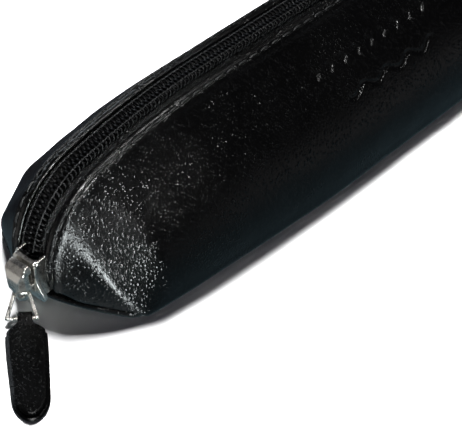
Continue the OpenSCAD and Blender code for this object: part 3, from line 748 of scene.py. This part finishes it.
def coil_teeth(l0, l1, phase):
    """One side's coil: a monofilament that turns once for each tooth, with its heads at the zip's middle."""
    count = int((l1 - l0 - TOOTH_CLEAR) / TOOTH_PITCH)
    first = (l0 + l1) / 2 - count * TOOTH_PITCH / 2 + phase
    l = (first + np.arange(count)[:, None] * TOOTH_PITCH + COIL_TURN[None, :, 0]).ravel()
    across, up, radius = (np.tile(COIL_TURN[:, k], count) for k in (1, 2, 3))
    return tube(along_path(l, -across, up), radius, 7)


def both_coils(l0, l1):
    """The front and back coils, half a tooth apart."""
    return coil_teeth(l0, l1, 0.0), mirrored(*coil_teeth(l0, l1, TOOTH_PITCH / 2))


def sewing(l0, l1):
    """The line of thread that holds a coil on its tape, crossing every tooth."""
    l = np.arange(l0, l1, TOOTH_PITCH / 4)
    up = SEW_UP + SEW_RISE * np.sin((l - l0) / TOOTH_PITCH * 2 * math.pi)
    return tube(along_path(l, SEW_Y, up), SEW_R, 6)


def foot_strip():
    """The lowest stretch of one tape, spreading into the corner that the leather edge leaves open."""
    a = np.linspace(TAPE_FOOT_A, SPLIT_A, FOOT_ROWS)
    k = np.clip((EDGE_A - a) / (EDGE_A - TAPE_FOOT_A), 0, 1)
    held = ZIP_HALF + FOOT_TUCK
    outer = np.where(a >= EDGE_A, held, lerp(held, FOOT_Y - FOOT_LEAVE, k ** FOOT_FLARE))
    s = arc_station(a)
    y = lerp(FOOT_IN, outer[:, None], np.linspace(0, 1, FOOT_COLUMNS)[None])
    back = END_BOW * np.clip((y - ZIP_HALF) / CORNER_Y, 0, None) ** FOOT_BEND
    over, under = (np.stack([s[:, 1:2] + s[:, 3:4] * d, -y, s[:, 2:3] + s[:, 4:5] * d], -1)
                   for d in (TAPE_TOP - back, TAPE_UNDER - back))
    uv = np.stack([np.broadcast_to((a * DEG * END_R)[:, None], y.shape), y], -1)
    return (*ring_solid(there_and_back(over, under)), there_and_back(uv, uv).reshape(-1, 2))


SPLIT_L = a_to_l(SPLIT_A + 0.4)
SPLIT_END = FULL_LEN - SPLIT_L
tape_v, tape_f, tape_uv = tape_strip(np.linspace(SPLIT_L, SPLIT_END, TAPE_ROWS))
coil_front, coil_back = both_coils(SPLIT_L, SPLIT_END)
sewn = sewing(SPLIT_L + SEW_CLEAR, SPLIT_END - SEW_CLEAR)
for side, tape, coil, (sew_v, sew_f) in (
        ("front", (tape_v, tape_f), coil_front, sewn),
        ("back", mirrored(tape_v, tape_f), coil_back, mirrored(*sewn))):
    o = new_object(f"zip_tape_{side}_woven", *tape, TAPE, uvs=tape_uv)
    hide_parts(f"zip_tape_{side}")
    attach(o, f"{side}_wall")
    o = new_object(f"zip_coil_{side}_teeth", *coil, COIL)
    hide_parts(f"zip_coil_{side}")
    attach(o, f"{side}_wall")
    o = new_object(f"coil_sewing_{side}", sew_v, sew_f, THREAD, uvs=sew_v[:, [0, 2]])
    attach(o, f"{side}_wall")

foot_v, foot_f, foot_uv = foot_strip()
both_feet = join([(foot_v, foot_f), mirrored(foot_v, foot_f)])
both_teeth = join(both_coils(a_to_l(TAPE_FOOT_A + FOOT_COIL_A), SPLIT_L - 0.2))
for end, feet, teeth in (("near", both_feet, both_teeth),
                         ("far", mirrored(*both_feet, axis=0), mirrored(*both_teeth, axis=0))):
    o = new_object(f"tape_foot_{end}", *feet, TAPE, uvs=np.concatenate([foot_uv, foot_uv]))
    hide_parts(f"tape_end_{end}")
    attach(o, "base")
    o = new_object(f"coil_foot_{end}", *teeth, COIL)
    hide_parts(f"coil_end_{end}")
    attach(o, "base")


# ---- Slider and link: the CAD solids, cast smooth -----------------------------------------------------------
def cast(name, node, voxel, passes, body):
    """A rounded nickel casting of a CAD node: remeshed finely, then smoothed so that its edges soften."""
    obj = bpy.data.objects.new(name, frame["nodes"][node].data.copy())
    bpy.context.scene.collection.objects.link(obj)
    skin = obj.modifiers.new("skin", "REMESH")
    skin.mode = "VOXEL"
    skin.voxel_size = voxel * MM
    skin.use_smooth_shade = True
    soften = obj.modifiers.new("soften", "SMOOTH")
    soften.factor = 0.5
    soften.iterations = passes
    graph = bpy.context.evaluated_depsgraph_get()
    mesh = bpy.data.meshes.new_from_object(obj.evaluated_get(graph))
    obj.modifiers.clear()
    obj.data = mesh
    mesh.name = name
    mesh.materials.clear()
    mesh.materials.append(NICKEL)
    mesh.polygons.foreach_set("use_smooth", [True] * len(mesh.polygons))
    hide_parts(node)
    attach(obj, body)


cast("slider_casting", "slider_body", 0.13, 5, "slider")
cast("slider_bridge", "slider_crown", 0.13, 8, "slider")
cast("pull_link_ring", "pull_link", 0.09, 6, "link")

# ---- Pull tab -----------------------------------------------------------------------------------------------
joint_at = {j["name"]: j for j in frame["joints"]}
BAR = np.array(joint_at["tab_swing"]["pos_m"]) / MM
PULL_YAW, TAB_LEAN, TAB_SHIFT, TAB_LIFT = 45.0, 5.0, 0.8, 0.05
TAB_L, TAB_W, TAB_T, CORE_T = 31.0, 9.6, 1.0, 0.4
NECK_W, SHOULDER_X, SHOULDER_L = 3.4, 1.2, 3.4
TIP_L, TIP_TAPER, TAPER_X, TAPER_L = 7.5, 0.1, 8.0, 18.0
BEND_X, BEND_L = 1.5, 3.0
LOOP_IN, LOOP_L, LOOP_POINTS, LOOP_EASE = 0.6, 3.4, 22, 8
TOP_TRIM, LAYER_POINTS, SECTION_POINTS = 0.4, 46, 25
PAD_RISE, PAD_X, PAD_RUN, PAD_TIP = 0.30, 4.0, 6.0, 5.0


def tab_half_width(x):
    w = TAB_W / 2 * (1 - TIP_TAPER * ease((x - TAPER_X) / TAPER_L))
    past = np.clip(x - TAB_L + TIP_L, 0, TIP_L) / TIP_L
    return np.minimum(lerp(NECK_W / 2, w, ease((x - SHOULDER_X) / SHOULDER_L)), w * np.sqrt(1 - past ** 2))


def tab_to_world(p):
    """From the tab's own frame (x along it from the bar, y across, z up from the table) to the case's."""
    x, y, z = p[..., 0], p[..., 1], p[..., 2]
    bend = TAB_LEAN * DEG * ease((x - BEND_X + 1) / BEND_L)
    d = x - BEND_X
    xb = BEND_X + d * np.cos(bend) - y * np.sin(bend)
    yb = d * np.sin(bend) + y * np.cos(bend) + TAB_SHIFT
    c, s = math.cos((180 + PULL_YAW) * DEG), math.sin((180 + PULL_YAW) * DEG)
    return np.stack([BAR[0] + xb * c - yb * s, BAR[1] + xb * s + yb * c, z + TAB_LIFT], -1)


def tab_strip():
    """One strip folded round the link's bar: its upper layer, the loop, and its lower layer."""
    tip_u, tip_l = TAB_L - TOP_TRIM, TAB_L
    toward_tip = np.sin(np.linspace(0, 1, LAYER_POINTS) * math.pi / 2)
    up_x, lo_x = lerp(LOOP_L, tip_u, toward_tip)[::-1], lerp(LOOP_L, tip_l, toward_tip)
    up_mid = TAB_T + CORE_T + TAB_T / 2
    loop_mid = LOOP_IN + TAB_T / 2
    loop_z = LOOP_IN + TAB_T
    ang = np.linspace(90, 270, LOOP_POINTS) * DEG
    ease_x = np.linspace(LOOP_L, 0.0, LOOP_EASE + 2)[1:-1]
    x = np.concatenate([up_x, ease_x, loop_mid * np.cos(ang), ease_x[::-1], lo_x])
    z = np.concatenate([np.full(LAYER_POINTS, up_mid), lerp(loop_z + loop_mid, up_mid, ease(ease_x / LOOP_L)),
                        loop_z + loop_mid * np.sin(ang), np.full(LOOP_EASE + LAYER_POINTS, TAB_T / 2)])
    upper = np.arange(len(x)) < LAYER_POINTS + LOOP_EASE
    trim = np.where(upper, TOP_TRIM, 0.0) * ease((x - 0.8) / 2)
    limit = np.where(upper, tip_u, tip_l)
    h = np.where(x > 0.0, tab_half_width(np.clip(x * TAB_L / limit, 0, TAB_L)) - trim, NECK_W / 2)
    h = np.maximum(h, 0.05)
    mid = np.stack([x, np.zeros_like(x), z], -1)
    tangent = unit(np.gradient(mid, axis=0))
    normal = np.stack([-tangent[:, 2], np.zeros_like(x), tangent[:, 0]], -1)
    q = np.linspace(-1, 1, SECTION_POINTS)
    rings = []
    for k in range(len(x)):
        left = limit[k] - x[k]
        half_t = TAB_T / 2 * min(1.0, 0.45 + left / 0.8)
        swelling = PAD_RISE * ease((x[k] - PAD_X) / PAD_RUN) * ease(left / PAD_TIP) * upper[k]
        pad = swelling * (1 - np.abs(q) ** 2.4)
        shape = (1 - np.abs(q) ** 14) ** 0.5 * half_t
        line = mid[k] + np.stack([q * 0, q * h[k], q * 0], -1)
        face = line + normal[k] * (shape + pad)[:, None]
        rear = line - normal[k] * (shape - pad * 0.2)[:, None]
        rings.append(np.concatenate([face, rear[::-1]]))
    return ring_solid(tab_to_world(np.array(rings)))


tab = new_object("pull_tab_leather", *tab_strip(), TAB_LEATHER)
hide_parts("tab_leather")
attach(tab, "tab")

# ---- Floor and sky ------------------------------------------------------------------------------------------
FLOOR_HALF, FLOOR_GAP = 1500.0, 0.02
LOW_SKY, LOW_STOP = (0.11, 0.17, 0.20, 1.0), 0.27
HIGH_SKY, HIGH_STOP = (0.019, 0.018, 0.023, 1.0), 0.41
SKY_AXIS, SKY_REACH = (0.0, 0.3, 1.0), 1.2
MIX_FACTOR, MIX_A, MIX_B, MIX_RESULT = 0, 6, 7, 2   # places of a colour mix node's sockets

floor_mat = Nodes("white_table").set(Base_Color=(0.92, 0.92, 0.93, 1), Roughness=0.8, Specular_IOR_Level=0.0)
floor_v = [[x * FLOOR_HALF, y * FLOOR_HALF, 0] for x, y in ((-1, -1), (1, -1), (1, 1), (-1, 1))]
floor = new_object("table_top", floor_v, [[0, 1, 2, 3]], floor_mat, smooth=False)
floor.location.z = -FLOOR_GAP * MM
floor.visible_glossy = False
floor.visible_shadow = False


def studio_world():
    """A dim sky that the object reflects, cool below and dark above; the camera sees plain white instead."""
    world = bpy.data.worlds.new("studio")
    world.use_nodes = True
    nodes, link = world.node_tree.nodes, world.node_tree.links.new
    sky = nodes["Background"]
    where = nodes.new("ShaderNodeTexCoord")
    tilt = nodes.new("ShaderNodeVectorMath")
    tilt.operation = "DOT_PRODUCT"
    tilt.inputs[1].default_value = SKY_AXIS
    lift = nodes.new("ShaderNodeMapRange")
    lift.inputs["From Min"].default_value = -SKY_REACH
    lift.inputs["From Max"].default_value = SKY_REACH
    ramp = nodes.new("ShaderNodeValToRGB")
    low, high = ramp.color_ramp.elements
    low.position, low.color = LOW_STOP, LOW_SKY
    high.position, high.color = HIGH_STOP, HIGH_SKY
    path = nodes.new("ShaderNodeLightPath")
    plain = nodes.new("ShaderNodeMix")
    plain.data_type = "RGBA"
    plain.inputs[MIX_B].default_value = (1.0, 1.0, 1.0, 1.0)
    link(where.outputs["Generated"], tilt.inputs[0])
    link(tilt.outputs["Value"], lift.inputs["Value"])
    link(lift.outputs["Result"], ramp.inputs["Fac"])
    link(path.outputs["Is Camera Ray"], plain.inputs[MIX_FACTOR])
    link(ramp.outputs["Color"], plain.inputs[MIX_A])
    link(plain.outputs[MIX_RESULT], sky.inputs["Color"])
    sky.inputs["Strength"].default_value = 1.0
    return world


bpy.context.scene.world = studio_world()

# ---- Lights and camera --------------------------------------------------------------------------------------
LIT_POINT = (-60, 0, 15)
WHITE, WARM = (1.0, 1.0, 1.0), (1.0, 0.97, 0.93)
# Reflections only: name, azimuth, elevation, distance, width, height, watts, colour.
CARDS = (("key", -43, -2, 500, 55, 380, 6.5, (0.92, 0.99, 1.0)),
         ("rim", 170, 18, 700, 500, 120, 1.5, (0.85, 0.93, 1.0)),
         ("face_glow", 40, 4, 900, 600, 380, 0.20, (1.0, 0.99, 1.0)),
         ("low_card", -54, -60, 400, 260, 160, 0.07, WARM),
         ("left_card", -130, -12, 400, 300, 330, 0.20, WARM),
         ("grain_dots", -32, 59, 500, 45, 45, 4.0, WHITE),
         ("sparkle", 100, 72, 700, 90, 90, 2.4, WHITE))
SENSOR_W, LENS, CLIP_END = 36, 138, 10
CAM_AZ, CAM_EL, CAM_DIST, CAM_LOOK = -48.1, 40.0, 402.0, (-59.9, -29.4, 17.8)


def direction(azimuth, elevation):
    """Unit vector towards an azimuth (0 is in front, 90 to the object's right) and an elevation."""
    a, e = azimuth * DEG, elevation * DEG
    return Vector((math.sin(a) * math.cos(e), -math.cos(a) * math.cos(e), math.sin(e)))


def place(name, data, look, azimuth, elevation, distance):
    """A light or camera that looks at a point from a direction and distance."""
    o = bpy.data.objects.new(name, data)
    bpy.context.scene.collection.objects.link(o)
    offset = direction(azimuth, elevation) * distance
    o.location = (Vector(look) + offset) * MM
    o.rotation_euler = (-offset).to_track_quat("-Z", "Y").to_euler()
    return o


def softbox(name, azimuth, elevation, distance, width, height, power, colour):
    light = bpy.data.lights.new(name, "AREA")
    light.shape = "RECTANGLE"
    light.size, light.size_y = width * MM, height * MM
    light.energy = power
    light.color = colour
    return place(name, light, LIT_POINT, azimuth, elevation, distance)


softbox("table_light", 133, 60, 1100, 260, 260, 36, WHITE).visible_glossy = False
for card in CARDS:
    softbox(*card).visible_diffuse = False

view = bpy.data.cameras.new("view")
view.sensor_width = SENSOR_W
view.lens = LENS
view.clip_end = CLIP_END
bpy.context.scene.camera = place("view", view, CAM_LOOK, CAM_AZ, CAM_EL, CAM_DIST)
bpy.context.scene.view_settings.view_transform = "Standard"
